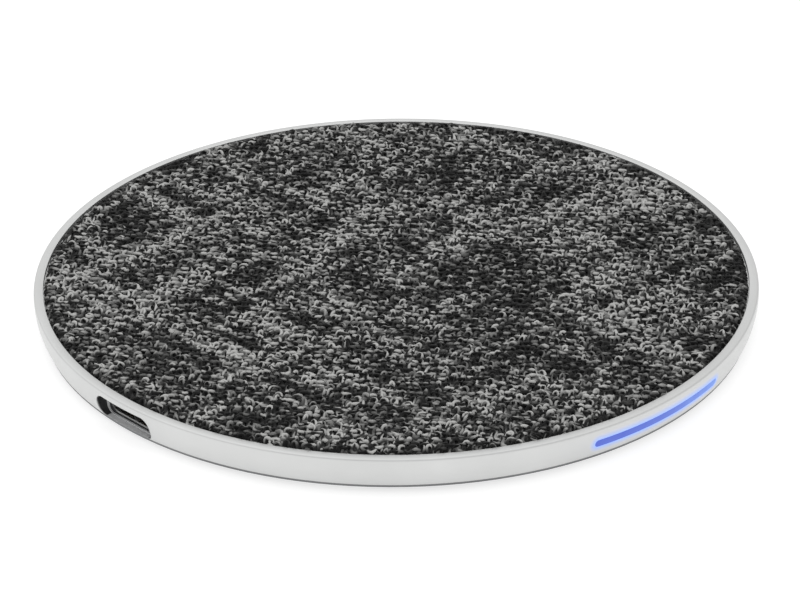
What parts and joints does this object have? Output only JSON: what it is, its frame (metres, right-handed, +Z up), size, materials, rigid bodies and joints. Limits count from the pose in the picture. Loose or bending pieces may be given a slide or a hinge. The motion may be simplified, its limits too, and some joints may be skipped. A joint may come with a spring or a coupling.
{
  "type": "wireless charging pad",
  "caption": "Thin round wireless charging pad with a knitted fabric top, a silver metal edge ring, a blue arc light window and a charging port in the edge.",
  "frame": {"origin": "centre of the resting plane, under the silicone foot ring", "axes": "+Z up through the pad towards the fabric top; the light window faces -Y and the charging port faces -X"},
  "size_m": [0.1, 0.1, 0.0058],
  "materials": {
    "fabric": "knitted heather yarn, charcoal and light grey",
    "ring_metal": "satin silver",
    "light_guide": "translucent, lit blue",
    "base_plastic": "fine texture, grey",
    "dark_plastic": "fine texture, near black",
    "silicone": "soft, matte",
    "adhesive": "thin tissue tape",
    "screw_steel": "zinc plated",
    "shell_steel": "stamped stainless steel",
    "contact_gold": "gold plated",
    "coil_copper": "enamelled copper strands",
    "lead_sleeve": "silicone sleeve, red",
    "ferrite": "sintered, dark grey",
    "solder": "bright solder",
    "board_green": "green solder mask",
    "chip_black": "moulded epoxy",
    "chip_ceramic": "fired ceramic, tan",
    "crystal_metal": "metal lid",
    "led_white": "moulded, lit blue"
  },
  "bodies": {
    "root": {"fabric_cover": "fabric", "fabric_adhesive": "adhesive", "top_plate": "dark_plastic", "ring_bezel": "ring_metal", "led_window": "light_guide", "port_surround": "dark_plastic", "base_plate": "base_plastic", "foot_ring": "silicone", "foot_adhesive": "adhesive", "case_screws": "screw_steel", "usb_shell": "shell_steel", "usb_tongue": "dark_plastic", "usb_contacts": "contact_gold", "usb_ground_collar": "shell_steel", "transmit_coil": "coil_copper", "coil_leads": "lead_sleeve", "ferrite_shield": "ferrite", "ferrite_adhesive": "adhesive", "solder_joints": "solder", "circuit_board": "board_green", "controller_chip": "chip_black", "protocol_chip": "chip_black", "bridge_mosfets": "chip_black", "resonant_capacitors": "chip_ceramic", "power_inductor": "ferrite", "crystal_can": "crystal_metal", "thermistor": "chip_black", "smd_passives": "chip_ceramic", "status_leds": "led_white", "led_driver": "chip_black"}
  },
  "joints": []
}
